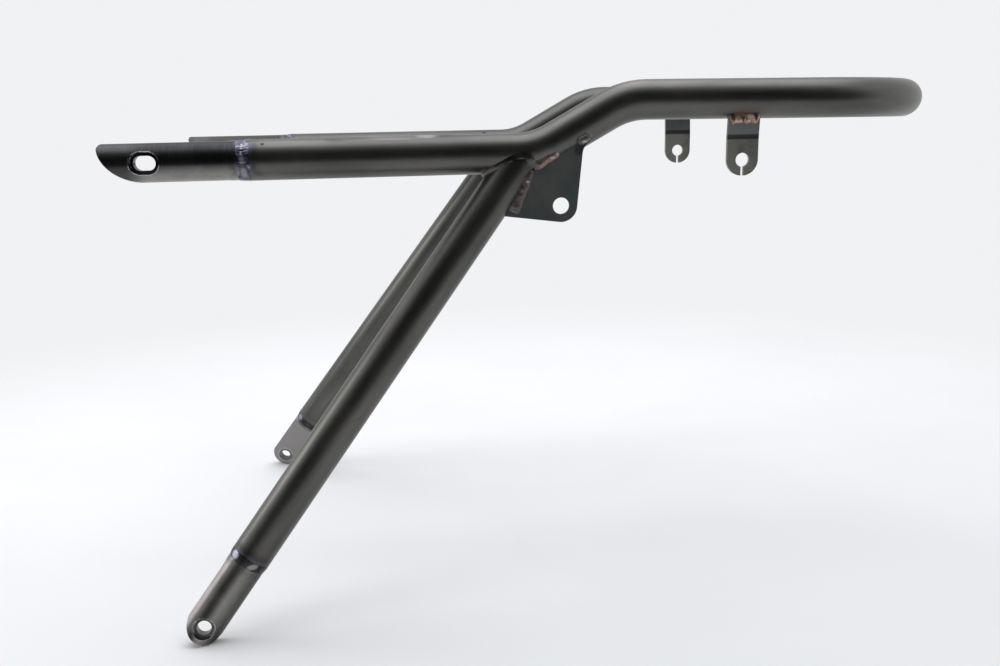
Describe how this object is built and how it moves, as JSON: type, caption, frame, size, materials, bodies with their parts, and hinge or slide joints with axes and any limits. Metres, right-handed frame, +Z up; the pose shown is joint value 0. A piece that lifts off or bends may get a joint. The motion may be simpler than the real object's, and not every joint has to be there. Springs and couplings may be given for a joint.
{
  "type": "motorcycle rear frame",
  "caption": "Welded bent-tube subframe with a U-shaped seat loop, two splayed struts, machined end lugs, gusset plates and keyhole fender tabs.",
  "frame": {"origin": "on the mid-plane, on the cross axis through the centres of the two upper mounting slots", "axes": "+X to the rear along the level rails, +Y to the machine's right-hand side, +Z up as installed"},
  "size_m": [0.5422, 0.3218, 0.3329],
  "materials": {
    "tube_steel": "bare dark mill-scale steel, satin",
    "machined_steel": "bare machined steel, dull",
    "plate_steel": "bare dark hot-rolled plate, satin",
    "blued_weld": "rippled weld metal with blue and violet heat tint",
    "dark_weld": "smooth dark weld metal",
    "rusty_weld": "rippled weld metal with light rust"
  },
  "bodies": {
    "root": {"seat_loop_tube": "tube_steel", "left_strut_tube": "tube_steel", "right_strut_tube": "tube_steel", "left_upper_lug": "machined_steel", "right_upper_lug": "machined_steel", "left_lower_lug": "machined_steel", "right_lower_lug": "machined_steel", "left_gusset_plate": "plate_steel", "right_gusset_plate": "plate_steel", "left_fender_tab": "plate_steel", "right_fender_tab": "plate_steel", "left_upper_lug_weld": "blued_weld", "right_upper_lug_weld": "blued_weld", "left_lower_lug_weld": "blued_weld", "right_lower_lug_weld": "blued_weld", "left_strut_rail_weld": "dark_weld", "right_strut_rail_weld": "dark_weld", "left_gusset_rail_weld": "rusty_weld", "right_gusset_rail_weld": "rusty_weld", "left_gusset_corner_weld": "rusty_weld", "right_gusset_corner_weld": "rusty_weld", "left_gusset_strut_weld": "rusty_weld", "right_gusset_strut_weld": "rusty_weld", "left_fender_tab_weld": "rusty_weld", "right_fender_tab_weld": "rusty_weld"}
  },
  "joints": []
}
